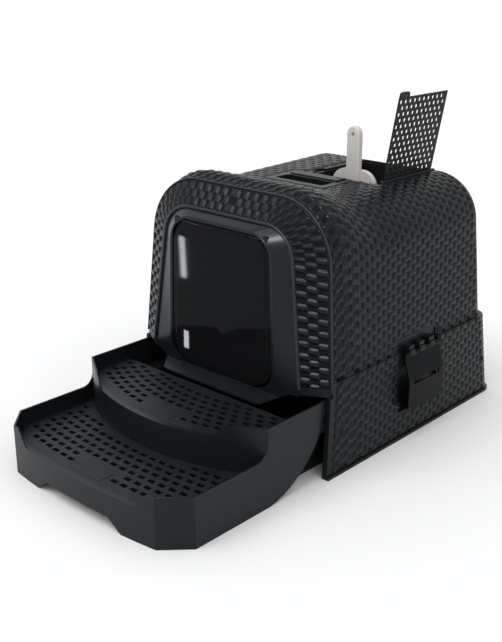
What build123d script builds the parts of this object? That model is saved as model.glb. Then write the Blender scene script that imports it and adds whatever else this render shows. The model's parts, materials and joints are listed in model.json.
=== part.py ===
from build123d import *
from math import cos, pi
import os

# Hooded litter box with a pull-out drawer, in millimetres, +Z up.
# Everything is drawn with y = 0 at the foot of the hood's front, x = 0 on the centre plane and
# z = 0 on the floor. At the end it is moved along Y so that the origin is the middle of the footprint.

# ---- overall sizes
BASE_WIDTH = 400.0          # over the foot rim
BASE_DEPTH = 462.0          # foot rim, front to back
BASE_HEIGHT = 145.0         # floor to the shoulder that carries the hood
HOOD_TOP = 380.0
STEP_REACH = 297.0          # front of the lower step, ahead of the hood's front, drawer as drawn
WALL = 3.0                  # hood and base walls

# ---- base
RIM_FLARE = 3.5
RIM_HEIGHT = 4.5
BASE_TOP_FRONT_HALF = BASE_WIDTH / 2 - 7.0
BASE_TOP_REAR_HALF = BASE_WIDTH / 2 - 4.0
BASE_TOP_FRONT_Y = 10.0
BASE_TOP_REAR_Y = BASE_DEPTH - 32.0
BASE_CORNER = 30.0
PORTAL_FLANGE = 3.0         # thickness of the base's front face either side of the drawer
PORTAL_DEPTH = 30.0
SHOULDER = 3.0
SHOULDER_WIDTH = 8.0        # how far the shoulder reaches in under the hood's wall

# ---- hood
BAND_FOOT = BASE_HEIGHT - 21.0  # lower edge of the hood's front
BAND_LEAN = 2.8             # degrees that the hood's front leans back from upright
MOUTH_Y = -10.0             # front of the woven band at its foot, where the door surround sits
MOUTH_FOOT_HALF = BASE_WIDTH / 2 - 48.0
MOUTH_TOP_HALF = BASE_WIDTH / 2 - 77.0
MOUTH_TOP = HOOD_TOP - 22.0
MOUTH_CORNER = 52.0
EDGE_Y = 12.0               # foot of the line where the band turns into the sides
EDGE_FOOT_HALF = BASE_WIDTH / 2 - 8.5
EDGE_TOP_HALF = BASE_WIDTH / 2 - 30.0  # half-width of the sides, carried up to HOOD_TOP
EDGE_TOP = HOOD_TOP + 13.0
EDGE_CORNER = 94.0
BAND_DEPTH = 14.0           # the hood hangs lower than the base's shoulder ahead of this
BROW_Y = 48.0               # highest line of the hood, behind the band
BROW_TOP = HOOD_TOP + 21.0
BROW_END = 138.0            # where the top has come down to HOOD_TOP
BROW_STEPS = 4
REAR_FOOT_HALF = BASE_WIDTH / 2 - 9.0
REAR_TOP_HALF = BASE_WIDTH / 2 - 21.0
HOOD_CORNER = 68.0
HOOD_REAR_Y = BASE_TOP_REAR_Y - 14.0  # rear wall at the shoulder
HOOD_REAR_LEAN = 22.0       # how far the rear wall leans in by the top
HOOD_REAR_ROUND = 14.0

# ---- drawer
DRAWER_HALF = BASE_WIDTH / 2 - 14.0
DRAWER_REAR = HOOD_REAR_Y - 110.0
DRAWER_REAR_CORNER = 16.0
DRAWER_TOP = BAND_FOOT - 4.0
DRAWER_WALL = 2.5
DRAWER_GAP = 1.5            # each side, in the base's front
LOWER_WALL_TOP = DRAWER_TOP - 45.0
LOWER_TREAD = LOWER_WALL_TOP - 24.0
LOWER_FACET_BACK = STEP_REACH - 47.0
LOWER_FACET_FRONT = STEP_REACH - 11.0
LOWER_CORNER_HALF = DRAWER_HALF - 36.0
UPPER_TREAD = DRAWER_TOP - 23.0
UPPER_FACET_BACK = STEP_REACH - 184.0
UPPER_FACET_FRONT = STEP_REACH - 157.0
UPPER_CORNER_HALF = DRAWER_HALF - 42.0
UPPER_CROWN = STEP_REACH - 126.0
LIP = 8.0                   # folded top edge in front of each grate
LEDGE = 4.0                # shelf under each grate's edge
PAN_FLOOR = LOWER_TREAD - 26.0  # under the lower grate
TRAY_HALF = DRAWER_HALF - 28.0  # narrower litter tray below the side ledges
TRAY_FLOOR = 3.0
RAIL_HEIGHT = UPPER_TREAD - 25.0  # underside of the drawer's side ledges
NOTCH_HALF = 66.0           # finger notch under the front
NOTCH_SPREAD = 24.0
NOTCH_HEIGHT = PAN_FLOOR - 7.0
SKIRT_FRONT = UPPER_FACET_BACK - 3.0  # where the side skirt lifts off the floor
SKIRT_BACK = 5.0            # where it reaches the side ledge
SKIRT_MID_Y = 45.0          # a point on the curve between
SKIRT_MID_Z = RAIL_HEIGHT - 45.0
DIP_HALF = LOWER_CORNER_HALF - 32.0  # low middle part of each front wall
DIP_ROUND = 16.0
DIP_SLOPE = 0.8             # run over rise of the shoulders
GUSSET = 20.0

# ---- grates
GRATE_THICKNESS = 3.0
GRATE_CLEARANCE = 0.4
GRATE_RISE = 1.0            # lip above the grate's top
GRATE_REAR = 40.0           # rear edge of the upper grate, ahead of the hood's front
HOLE_WIDTH = 12.0
HOLE_DEPTH = 7.5
HOLE_PITCH_X = 18.5
HOLE_PITCH_Y = 15.5
HOLE_MARGIN = 4.0
PAD_HALF = 32.0
PAD_DEPTH = 29.0
PAD_MARGIN = 9.0
PAD_RISE = 0.6

# ---- drawer guides in the base
RUNNER_INNER = DRAWER_HALF - 18.0
RUNNER_START = 128.0
RUNNER_END = HOOD_REAR_Y + 9.0
RUNNER_THICKNESS = 9.0
RUNNING_GAP = 0.3
GUIDE_START = 16.0
GUIDE_END = 56.0
GUIDE_LOW = RAIL_HEIGHT - 24.0
GUIDE_HIGH = RAIL_HEIGHT + 12.0
WINDOW_SIDE = 8.0
WINDOW_FRONT_Y = 30.0
WINDOW_REAR_Y = RUNNER_END - 10.0
WINDOW_Z = RAIL_HEIGHT - 6.0
HOOK_CLEARANCE = 0.3
HOOK_SET_BACK = 1.0         # the snap hook's face lies this far inside the base's outer face

# ---- door surround and flap
PLATE_Y = -16.0             # front of the flat ring round the door
PLATE = 3.0
RING = 5.0
DOOR_TOP = MOUTH_TOP - 16.0
DOOR_HEIGHT = DOOR_TOP - BAND_FOOT + 8.0
DOOR_TOP_HALF = MOUTH_TOP_HALF - 28.0
DOOR_FOOT_HALF = MOUTH_FOOT_HALF - 48.0
DOOR_CORNER = 39.0
DOOR_GAP = 1.6
OPENING_CORNER = 34.0        # tighter than the flap's, so that its corners swing through
FLAP_THICKNESS = 2.4
FLAP_Y = -13.3              # middle of the flap, and its axis
FLAP_AXIS_Z = DOOR_TOP - 3.0
FLAP_PIN_R = 1.6
FLAP_PIN_GAP = 0.06
FLAP_BARREL_R = 2.8
SURROUND_EDGE = 1.0         # the surround's rim lies this far inside the band's mouth
BOSS_HALF = 5.0
BOSS_SET_BACK = 0.5
BOSS_BACK = -8.5
BOSS_INNER = DOOR_TOP_HALF - 11.5
BOSS_OUTER = DOOR_TOP_HALF - 3.0
BOSS_SKIN = 1.0
ROD_END_GAP = 0.3
APRON_TOP = DOOR_TOP - DOOR_HEIGHT - 4.0
APRON_FOOT = APRON_TOP - 11.0
APRON_REACH = 38.0          # how far the lip under the door stands ahead of the hood's front
APRON_HALF = DOOR_FOOT_HALF - 8.0
APRON_SHOULDER_HALF = MOUTH_FOOT_HALF - 16.0
APRON_SHOULDER_Z = BAND_FOOT - 3.0

# ---- carry handle panel
PANEL_HALF = 60.0
PANEL_FRONT = HOOD_REAR_Y - 269.0
PANEL_REAR = PANEL_FRONT + 78.0
PANEL_RISE = 2.0
PANEL_CORNER = 7.0
PANEL_PLUG_INSET = 5.0
PANEL_PLUG_DEPTH = 16.0
PANEL_CLEARANCE = 0.4
PLUG_CORNER = 0.5
SLOT_LENGTH = 94.0
SLOT_WIDTH = 30.0
SLOT_FRONT = PANEL_FRONT + 13.0
SLOT_CORNER = 5.0
GRIP_RISE = 2.0

# ---- lid over the scoop bin
HINGE_X = BASE_WIDTH / 2 - 102.0
LID_FRONT = HOOD_REAR_Y - 169.7
LID_REAR = LID_FRONT + 131.7
LID_LENGTH = 132.0          # hinge axis to free edge
LID_THICKNESS = 1.6
LID_OPEN_ANGLE = 100.0
LID_GAP = 0.6
LID_DROP = 0.2              # the shut lid's face lies this far under the hood's top
TAB_RISE = 1.0
BARREL_R = 2.8
LUG_MARGIN = 2.0            # of the hinge lugs past the lid's opening
LID_PIN_R = 1.5
LID_PIN_GAP = 0.06
LUG_LENGTH = 7.0
LUG_SKIN = 1.5
TAB_LENGTH = 25.0
TAB_REACH = 9.0
LID_HOLE = 5.4
LID_HOLE_PITCH_X = 9.6
LID_HOLE_PITCH_Y = 12.2
LID_HOLE_MARGIN = 7.0
BIN_SLOT_FRONT = LID_FRONT - 17.3
BIN_WALL = 2.5
BIN_DEPTH = 122.0
BIN_FLANGE = 5.0
BIN_REAR_FLANGE = 1.2
BIN_SEAT = 4.0              # part of the flange that shows inside the opening and carries the lid

# ---- scoop
SCOOP_X = HINGE_X - 50.0
SCOOP_Y = LID_FRONT - 8.5
HANDLE_WIDTH = 24.0
HANDLE_THICKNESS = 11.0
HANDLE_TOP = HOOD_TOP + 83.0
HANG_HOLE_R = 3.2
HANDLE_ROUND = 2.5
HANDLE_FOOT = 30.0          # how far the handle runs down over the head
HEAD_WIDTH = 82.0
HEAD_DEPTH = 9.0
HEAD_LENGTH = 138.0
HEAD_WALL = 2.5
HEAD_SHOULDER = 26.0
SCOOP_DEPTH = 13.0          # head and handle together, front to back
SIEVE_SLOTS = 6
SIEVE_SLOT_WIDTH = 6.0
SIEVE_SLOT_PITCH = 12.0
SIEVE_SLOT_LENGTH = 72.0
SIEVE_FOOT = 14.0
SCOOP_STAND = 0.3

# ---- side latches
LATCH_FRONT = BASE_DEPTH / 2 - 53.0
LATCH_WIDTH = 94.0
LATCH_AXIS_X = BASE_WIDTH / 2 - 1.0
LATCH_AXIS_Z = BASE_HEIGHT - 6.0
LATCH_BULGE_X = LATCH_AXIS_X + 13.0
LATCH_BULGE_Z = LATCH_AXIS_Z - 38.0
LATCH_FOOT_Z = LATCH_BULGE_Z - 45.0
LATCH_THICKNESS = 2.5
HOOK_TIP_X = LATCH_AXIS_X - 5.5
KNUCKLE_R = 4.0
EAR_RISE = 7.0              # of the hood's hinge ears above the shoulder
EAR_ROOT_INNER = 1.0        # web from the ear's barrel up to the shoulder, either side of the axis
EAR_ROOT_OUTER = 2.5
LATCH_PIN_R = 1.5
LATCH_PIN_GAP = 0.06
KNUCKLES = 7                # odd ones belong to the latch, even ones to the hood
KNUCKLE_GAP = 0.4
FINGER_SLOT = 7.0
SLOT_END = 12.0
POCKET_MARGIN = 5.0
POCKET_FLOOR_X = LATCH_AXIS_X - 8.5
POCKET_LOW = LATCH_FOOT_Z - 10.0
POCKET_HIGH = BASE_HEIGHT + 15.0
CATCH_DEPTH = 5.5
CATCH_THICKNESS = 4.0
CATCH_GAP = 0.4

BIG = 1000.0                # past every face, for cuts
OVER = 1.0                  # how far a cut runs past the face it opens


# ---- drawing helpers
def block(x0, x1, y0, y1, z0, z1):
    """A box between two corners."""
    return Pos((x0 + x1) / 2, (y0 + y1) / 2, (z0 + z1) / 2) * Box(x1 - x0, y1 - y0, z1 - z0)


def upright(sketch, y):
    """Stands a sketch drawn as (x, z) up at depth y."""
    return Pos(0, y, 0) * (Plane.XZ * sketch)


def upright_prism(sketch, y0, y1):
    """A sketch drawn as (x, z), carried along Y from y0 to y1."""
    return extrude(upright(sketch, y1), y1 - y0)


def side_prism(sketch, x0, x1):
    """A sketch drawn as (y, z), carried along X from x0 to x1."""
    return Pos(x0, 0, 0) * extrude(Plane.YZ * sketch, x1 - x0)


def rod_x(x0, x1, y, z, radius):
    return Pos((x0 + x1) / 2, y, z) * Rot(0, 90, 0) * Cylinder(radius, x1 - x0)


def rod_y(x, y0, y1, z, radius):
    return Pos(x, (y0 + y1) / 2, z) * Rot(90, 0, 0) * Cylinder(radius, y1 - y0)


def closed(points):
    return make_face(Polyline(*points, close=True))


def mirrored(shape):
    return mirror(shape, about=Plane.YZ)


def arch(foot_half, top_half, foot, top, corner):
    """A trapezium on its wide side with both upper corners rounded."""
    face = closed([(-foot_half, foot), (-top_half, top), (top_half, top), (foot_half, foot)])
    return fillet(face.vertices().sort_by(Axis.Y)[-2:], corner)


# ---- hood
def leaning(sketch, y):
    """Stands a sketch drawn as (x, z) up on the leaning front, whose foot is at depth y."""
    return upright(sketch, y).rotate(Axis((0, y, BAND_FOOT), (1, 0, 0)), -BAND_LEAN)


def body_arch(y, top, inset):
    """Section of the hood's body at depth y, between its front edge and its rear."""
    rear = (y - EDGE_Y) / (HOOD_REAR_Y + HOOD_REAR_LEAN - EDGE_Y)
    foot_half = EDGE_FOOT_HALF + rear * (REAR_FOOT_HALF - EDGE_FOOT_HALF)
    top_half = EDGE_TOP_HALF + rear * (REAR_TOP_HALF - EDGE_TOP_HALF)
    corner = EDGE_CORNER + rear * (HOOD_CORNER - EDGE_CORNER)
    top_half -= (foot_half - top_half) * (top - HOOD_TOP) / (HOOD_TOP - BAND_FOOT)
    return arch(foot_half - inset, top_half - inset, BAND_FOOT - OVER, top - inset, corner - inset)


def hood_form(inset):
    """The hood as a full solid: band, brow and drafted body with its leaning rear."""
    mouth = arch(MOUTH_FOOT_HALF - inset, MOUTH_TOP_HALF - inset, BAND_FOOT - OVER, MOUTH_TOP - inset,
                 MOUTH_CORNER - inset)
    sections = [leaning(mouth, MOUTH_Y), leaning(body_arch(EDGE_Y, EDGE_TOP, inset), EDGE_Y + inset / 2)]
    # the top comes down from the brow in a half wave
    for step in range(BROW_STEPS + 1):
        y = BROW_Y + (BROW_END - BROW_Y) * step / BROW_STEPS
        top = HOOD_TOP + (BROW_TOP - HOOD_TOP) * (1 + cos(pi * step / BROW_STEPS)) / 2
        sections.append(upright(body_arch(y, top, inset), y))
    rear = HOOD_REAR_Y + HOOD_REAR_LEAN
    sections.append(upright(body_arch(rear, HOOD_TOP, inset), rear))
    form = loft(sections, ruled=True)
    rear_y = HOOD_REAR_Y - inset
    behind = closed([(rear_y, BASE_HEIGHT), (rear_y - HOOD_REAR_LEAN, HOOD_TOP), (rear_y, BIG),
                     (BIG, BIG), (BIG, -BIG), (rear_y, -BIG)])
    form -= side_prism(behind, -BIG, BIG)
    rims = [rim for rim in form.edges() if rim.center().Z > BASE_HEIGHT + OVER
            and rim.center().Y > rear_y - HOOD_REAR_LEAN - OVER]
    return fillet(rims, HOOD_REAR_ROUND - inset)


def latch_slots():
    """Front and rear of each hinge knuckle, along Y."""
    pitch = LATCH_WIDTH / KNUCKLES
    return [(LATCH_FRONT + i * pitch + KNUCKLE_GAP / 2, LATCH_FRONT + (i + 1) * pitch - KNUCKLE_GAP / 2)
            for i in range(KNUCKLES)]


def pocket_span():
    return LATCH_FRONT - POCKET_MARGIN, LATCH_FRONT + LATCH_WIDTH + POCKET_MARGIN


def top_opening(x0, x1, y0, y1):
    """A cut through the hood's top."""
    return block(x0, x1, y0, y1, HOOD_TOP - WALL - OVER, BIG)


def lid_opening():
    """Left and right edges of the opening that the lid shuts."""
    return HINGE_X - LID_LENGTH - LID_GAP, HINGE_X + BARREL_R + LID_GAP


def hinge_ears():
    """The hood's knuckles of the right latch hinge, with their roots on the shoulder."""
    ears = Part()
    for front, rear in latch_slots()[1::2]:
        ears += block(POCKET_FLOOR_X - WALL, LATCH_AXIS_X, front, rear, BASE_HEIGHT, BASE_HEIGHT + EAR_RISE)
        ears += block(POCKET_FLOOR_X + RUNNING_GAP, LATCH_AXIS_X, front, rear, LATCH_AXIS_Z - KNUCKLE_R,
                      BASE_HEIGHT)
        ears += block(LATCH_AXIS_X - EAR_ROOT_INNER, LATCH_AXIS_X + EAR_ROOT_OUTER, front, rear,
                      LATCH_AXIS_Z, BASE_HEIGHT)
        ears += rod_y(LATCH_AXIS_X, front, rear, LATCH_AXIS_Z, KNUCKLE_R)
    return ears


def hood_shell():
    y0, y1 = pocket_span()
    shell = hood_form(0) - hood_form(WALL)
    shell -= block(-BIG, BIG, BAND_DEPTH, BIG, 0, BASE_HEIGHT)
    shell -= block(-BIG, BIG, -BIG, BIG, 0, BAND_FOOT)
    # opening under the carry handle
    inset = PANEL_PLUG_INSET - PANEL_CLEARANCE
    shell -= top_opening(inset - PANEL_HALF, PANEL_HALF - inset, PANEL_FRONT + inset, PANEL_REAR - inset)
    # opening under the lid, its finger notch and the two hinge lugs
    left, right = lid_opening()
    shell -= top_opening(left, right, BIN_SLOT_FRONT, LID_REAR + LID_GAP)
    shell -= top_opening(left - TAB_REACH, left + OVER, LID_FRONT, LID_FRONT + TAB_LENGTH + 2 * LID_GAP)
    front_lug = LID_FRONT - LID_GAP - LUG_LENGTH
    rear_lug = LID_REAR + LID_GAP
    for y in (front_lug, rear_lug):
        shell += block(HINGE_X - BARREL_R, right + LUG_MARGIN, y, y + LUG_LENGTH, HOOD_TOP - WALL, HOOD_TOP)
        shell += rod_y(HINGE_X, y, y + LUG_LENGTH, HOOD_TOP, BARREL_R)
    shell -= rod_y(HINGE_X, front_lug + LUG_SKIN, rear_lug + LUG_LENGTH - LUG_SKIN, HOOD_TOP,
                   LID_PIN_R + LID_PIN_GAP)
    # side pockets with the fixed knuckles of the latch hinges
    for side in (1, -1):
        pad = block(POCKET_FLOOR_X - 2 * WALL, EDGE_FOOT_HALF, y0 - WALL, y1 + WALL, BASE_HEIGHT,
                    POCKET_HIGH + WALL) & hood_form(0)
        recess = block(POCKET_FLOOR_X - WALL, BIG, y0, y1, BASE_HEIGHT - OVER, POCKET_HIGH)
        ears = hinge_ears()
        if side < 0:
            pad, ears, recess = mirrored(pad), mirrored(ears), mirrored(recess)
        shell = shell + pad - recess + ears
        shell -= rod_y(side * LATCH_AXIS_X, y0, y1, LATCH_AXIS_Z, LATCH_PIN_R + LATCH_PIN_GAP)
    return shell


# ---- base
def base_plan(front_half, rear_half, front_y, rear_y, inset):
    outline = closed([(-front_half + inset, front_y), (front_half - inset, front_y),
                      (rear_half - inset, rear_y - inset), (-rear_half + inset, rear_y - inset)])
    return fillet(outline.vertices().sort_by(Axis.Y)[-2:], BASE_CORNER - inset)


def base_form(inset, front):
    """Tapered body of the base: inset by a wall at the sides and rear, and by front at the front."""
    half = BASE_WIDTH / 2 - RIM_FLARE
    foot = base_plan(half, half, front, BASE_DEPTH - RIM_FLARE, inset)
    top = base_plan(BASE_TOP_FRONT_HALF, BASE_TOP_REAR_HALF, BASE_TOP_FRONT_Y + front, BASE_TOP_REAR_Y,
                    inset)
    return loft([foot, Pos(0, 0, BASE_HEIGHT) * top], ruled=True)


def windows(side, clearance):
    """Square windows through the base's side wall, front and rear, for the snap hooks."""
    half = WINDOW_SIDE / 2 - clearance
    near, far = sorted((side * (DRAWER_HALF + DRAWER_GAP), side * BASE_WIDTH / 2))
    return [block(near, far, y - half, y + half, WINDOW_Z - half, WINDOW_Z + half)
            for y in (WINDOW_FRONT_Y, WINDOW_REAR_Y)]


def base_housing():
    y0, y1 = pocket_span()
    rim = base_plan(BASE_WIDTH / 2, BASE_WIDTH / 2, 0, BASE_DEPTH, 0)
    shell = base_form(0, 0) + extrude(rim, RIM_HEIGHT)
    hollow = base_form(WALL, PORTAL_FLANGE) & block(-BIG, BIG, -BIG, BIG, -1, BASE_HEIGHT - SHOULDER)
    shell -= hollow
    # open front, and the opening inside the shoulder that carries the hood
    portal = DRAWER_HALF + DRAWER_GAP
    shell -= block(-portal, portal, -BIG, PORTAL_DEPTH, -OVER, BIG)
    cabin_half = REAR_FOOT_HALF - SHOULDER_WIDTH
    shell -= block(-cabin_half, cabin_half, -BIG, HOOD_REAR_Y - SHOULDER_WIDTH,
                   BASE_HEIGHT - SHOULDER - OVER, BIG)
    shell -= block(-BIG, BIG, -BIG, BAND_DEPTH + RUNNING_GAP, BAND_FOOT - RUNNING_GAP, BIG)
    for side in (1, -1):
        pad = block(portal, BASE_TOP_FRONT_HALF, y0 - WALL, y1 + WALL, POCKET_LOW - WALL,
                    BASE_HEIGHT) & base_form(0, 0)
        recess = block(POCKET_FLOOR_X, BIG, y0, y1, POCKET_LOW, BIG)
        catch_foot = LATCH_FOOT_Z + LATCH_THICKNESS + CATCH_GAP
        catch = block(POCKET_FLOOR_X, POCKET_FLOOR_X + CATCH_DEPTH, y0 + 2 * POCKET_MARGIN,
                      y1 - 2 * POCKET_MARGIN, catch_foot, catch_foot + CATCH_THICKNESS)
        if side < 0:
            pad, recess, catch = mirrored(pad), mirrored(recess), mirrored(catch)
        shell = shell + pad - recess + catch
        for window in windows(side, 0):
            shell -= window
    return shell


def runner(side):
    """Rail along the inside of the base that the drawer's side ledge slides over."""
    top = RAIL_HEIGHT - RUNNING_GAP
    y0, y1 = pocket_span()
    bar = block(RUNNER_INNER, BASE_WIDTH / 2, RUNNER_START, RUNNER_END, top - RUNNER_THICKNESS, top)
    bar -= block(DRAWER_HALF + DRAWER_GAP, BIG, y0 - WALL, y1 + WALL, 0, BIG)
    if side < 0:
        bar = mirrored(bar)
    bar &= base_form(WALL, PORTAL_FLANGE)
    hook = windows(side, HOOK_CLEARANCE)[1] & base_form(HOOK_SET_BACK, 0)
    hook &= block(-BIG, BIG, -BIG, BIG, top - RUNNER_THICKNESS, top)
    return bar + hook


def guide(side):
    """Glide block behind the base's front edge that steadies the drawer's side."""
    pad = block(DRAWER_HALF + DRAWER_GAP, BASE_WIDTH / 2, GUIDE_START, GUIDE_END, GUIDE_LOW, GUIDE_HIGH)
    if side < 0:
        pad = mirrored(pad)
    pad = pad & base_form(WALL, PORTAL_FLANGE)
    return pad + (windows(side, HOOK_CLEARANCE)[0] & base_form(HOOK_SET_BACK, 0))


# ---- door surround and flap
def door_outline(grow, corner):
    """The flap's outline, grown by a gap."""
    lean = (DOOR_FOOT_HALF - DOOR_TOP_HALF) / DOOR_HEIGHT
    top, foot = DOOR_TOP + grow, DOOR_TOP - DOOR_HEIGHT - grow
    foot_half = DOOR_FOOT_HALF + grow * (1 + lean)
    top_half = DOOR_TOP_HALF + grow * (1 - lean)
    face = closed([(-foot_half, foot), (-top_half, top), (top_half, top), (foot_half, foot)])
    return fillet(face.vertices(), corner)


def surround_form(inset):
    """Full solid of the surround: a frustum from the hood's mouth to the flat ring round the door."""
    edge = SURROUND_EDGE + inset
    spread = (MOUTH_FOOT_HALF - MOUTH_TOP_HALF) / (MOUTH_TOP - BAND_FOOT)
    back = arch(MOUTH_FOOT_HALF + (BAND_FOOT - APRON_FOOT) * spread - edge, MOUTH_TOP_HALF - edge,
                APRON_FOOT, MOUTH_TOP - edge, MOUTH_CORNER - edge)
    grow = DOOR_GAP + RING - inset
    ring = arch(DOOR_FOOT_HALF + grow, DOOR_TOP_HALF + grow, APRON_FOOT, DOOR_TOP + grow,
                DOOR_CORNER + grow)
    return loft([leaning(back, MOUTH_Y), upright(ring, PLATE_Y + inset)], ruled=True)


def door_surround():
    shell = surround_form(0) - surround_form(PLATE)
    shell -= upright_prism(door_outline(DOOR_GAP, OPENING_CORNER), PLATE_Y - OVER, MOUTH_Y + OVER)
    # the lip under the door, sloping forward over the step
    section = closed([(PLATE_Y + PLATE, APRON_TOP), (PLATE_Y, APRON_TOP),
                      (-APRON_REACH, APRON_FOOT + PLATE), (-APRON_REACH, APRON_FOOT),
                      (PLATE_Y + PLATE, APRON_TOP - PLATE)])
    shell += side_prism(section, -APRON_SHOULDER_HALF, APRON_SHOULDER_HALF)
    # lower corners rise towards the hood's band
    for side in (1, -1):
        corner = closed([(side * APRON_HALF, 0), (side * APRON_HALF, APRON_FOOT),
                         (side * APRON_SHOULDER_HALF, APRON_SHOULDER_Z), (side * BIG, APRON_SHOULDER_Z),
                         (side * BIG, 0)])
        shell -= upright_prism(corner, -APRON_REACH - OVER, MOUTH_Y + OVER)
    # bearing blocks behind the plate for the flap's pins
    for side in (1, -1):
        near, far = sorted((side * BOSS_INNER, side * BOSS_OUTER))
        shell += block(near, far, PLATE_Y + BOSS_SET_BACK, BOSS_BACK, FLAP_AXIS_Z - BOSS_HALF,
                       FLAP_AXIS_Z + BOSS_HALF)
    blind = BOSS_OUTER - BOSS_SKIN
    return shell - rod_x(-blind, blind, FLAP_Y, FLAP_AXIS_Z, FLAP_PIN_R + FLAP_PIN_GAP)


def flap_panel():
    half = FLAP_THICKNESS / 2
    panel = upright_prism(door_outline(0, DOOR_CORNER), FLAP_Y - half, FLAP_Y + half)
    # barrel along the top edge that carries the pin
    barrel_half = DOOR_TOP_HALF - DOOR_CORNER
    panel += rod_x(-barrel_half, barrel_half, FLAP_Y, FLAP_AXIS_Z, FLAP_BARREL_R)
    return panel - rod_x(-BOSS_OUTER, BOSS_OUTER, FLAP_Y, FLAP_AXIS_Z, FLAP_PIN_R)


def flap_hinge_rod():
    tip = BOSS_OUTER - BOSS_SKIN - ROD_END_GAP
    return rod_x(-tip, tip, FLAP_Y, FLAP_AXIS_Z, FLAP_PIN_R)


# ---- carry handle panel
def panel_outline(inset, corner):
    return Pos(0, (PANEL_FRONT + PANEL_REAR) / 2) * RectangleRounded(
        2 * (PANEL_HALF - inset), PANEL_REAR - PANEL_FRONT - 2 * inset, corner)


def handle_panel():
    flange = Pos(0, 0, HOOD_TOP) * extrude(panel_outline(0, PANEL_CORNER), PANEL_RISE)
    flange = chamfer(flange.faces().sort_by(Axis.Z)[-1].edges(), PANEL_RISE / 2)
    foot = HOOD_TOP - PANEL_PLUG_DEPTH
    plug = layer(panel_outline(PANEL_PLUG_INSET, PLUG_CORNER), foot, HOOD_TOP)
    plug -= layer(panel_outline(PANEL_PLUG_INSET + WALL, PLUG_CORNER), foot - OVER, HOOD_TOP)
    slot_centre = Pos(0, SLOT_FRONT + SLOT_WIDTH / 2)
    well = RectangleRounded(SLOT_LENGTH + 2 * WALL, SLOT_WIDTH + 2 * WALL, SLOT_CORNER + WALL)
    slot = RectangleRounded(SLOT_LENGTH, SLOT_WIDTH, SLOT_CORNER)
    panel = flange + plug + layer(slot_centre * well, foot, HOOD_TOP)
    # raised grip behind the hand slot
    grip = block(-SLOT_LENGTH / 2, SLOT_LENGTH / 2, SLOT_FRONT + SLOT_WIDTH + 2 * WALL,
                 PANEL_REAR - 2 * WALL, HOOD_TOP + PANEL_RISE / 2, HOOD_TOP + PANEL_RISE + GRIP_RISE)
    panel += fillet(grip.edges().filter_by(Axis.X).sort_by(Axis.Z)[-2:], GRIP_RISE * 0.8)
    return panel - layer(slot_centre * slot, 0, BIG)


# ---- lid
def open_lid(shape):
    """Turns a piece drawn with the lid shut up to the open position."""
    return shape.rotate(Axis((HINGE_X, 0, HOOD_TOP), (0, 1, 0)), LID_OPEN_ANGLE)


def lid():
    top = HOOD_TOP - LID_DROP
    free_edge = HINGE_X - LID_LENGTH
    plate = block(free_edge, HINGE_X, LID_FRONT, LID_REAR, top - LID_THICKNESS, top)
    rows = int((LID_LENGTH - BARREL_R - 2 * LID_HOLE_MARGIN) / LID_HOLE_PITCH_X) + 1
    span = LID_REAR - LID_FRONT - 2 * LID_HOLE_MARGIN - LID_HOLE_PITCH_Y / 2
    columns = int(span / LID_HOLE_PITCH_Y) + 1
    places = [(free_edge + LID_HOLE_MARGIN + i * LID_HOLE_PITCH_X,
               LID_FRONT + LID_HOLE_MARGIN + (j + i % 2 / 2) * LID_HOLE_PITCH_Y)
              for i in range(rows) for j in range(columns)]
    holes = Sketch() + [Pos(x, y) * Rectangle(LID_HOLE, LID_HOLE) for x, y in places]
    plate -= layer(holes, top - LID_THICKNESS - OVER, top + OVER)
    tab = block(free_edge - TAB_REACH + LID_GAP, free_edge, LID_FRONT + LID_GAP, LID_FRONT + TAB_LENGTH,
                top - LID_THICKNESS, top + TAB_RISE)
    plate += fillet(tab.edges().filter_by(Axis.Z).sort_by(Axis.X)[:2], TAB_REACH / 2)
    plate += rod_y(HINGE_X, LID_FRONT, LID_REAR, HOOD_TOP, BARREL_R)
    plate -= rod_y(HINGE_X, LID_FRONT - OVER, LID_REAR + OVER, HOOD_TOP, LID_PIN_R + LID_PIN_GAP)
    return open_lid(plate)


def lid_hinge_pin():
    reach = LID_GAP + LUG_LENGTH - LUG_SKIN - ROD_END_GAP
    return rod_y(HINGE_X, LID_FRONT - reach, LID_REAR + reach, HOOD_TOP, LID_PIN_R)


# ---- scoop bin and scoop
def scoop_bin():
    opening_left, opening_right = lid_opening()
    left, right = opening_left + BIN_SEAT, HINGE_X - BARREL_R - BIN_SEAT
    front, rear = BIN_SLOT_FRONT + BIN_WALL / 2, LID_REAR - BIN_SEAT
    top = HOOD_TOP - WALL
    flange = block(opening_left - TAB_REACH - BIN_FLANGE, opening_right + BIN_FLANGE,
                   BIN_SLOT_FRONT - BIN_SEAT, LID_REAR + LID_GAP + BIN_REAR_FLANGE, top - BIN_WALL, top)
    flange &= hood_form(WALL)
    tub = block(left - BIN_WALL, right + BIN_WALL, front - BIN_WALL, rear + BIN_WALL, top - BIN_DEPTH, top)
    tub = fillet(tub.edges().filter_by(Axis.Z), 2 * BIN_WALL)
    hollow = block(left, right, front, rear, top - BIN_DEPTH + BIN_WALL, BIG)
    return flange + tub - fillet(hollow.edges().filter_by(Axis.Z), BIN_WALL)


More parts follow.
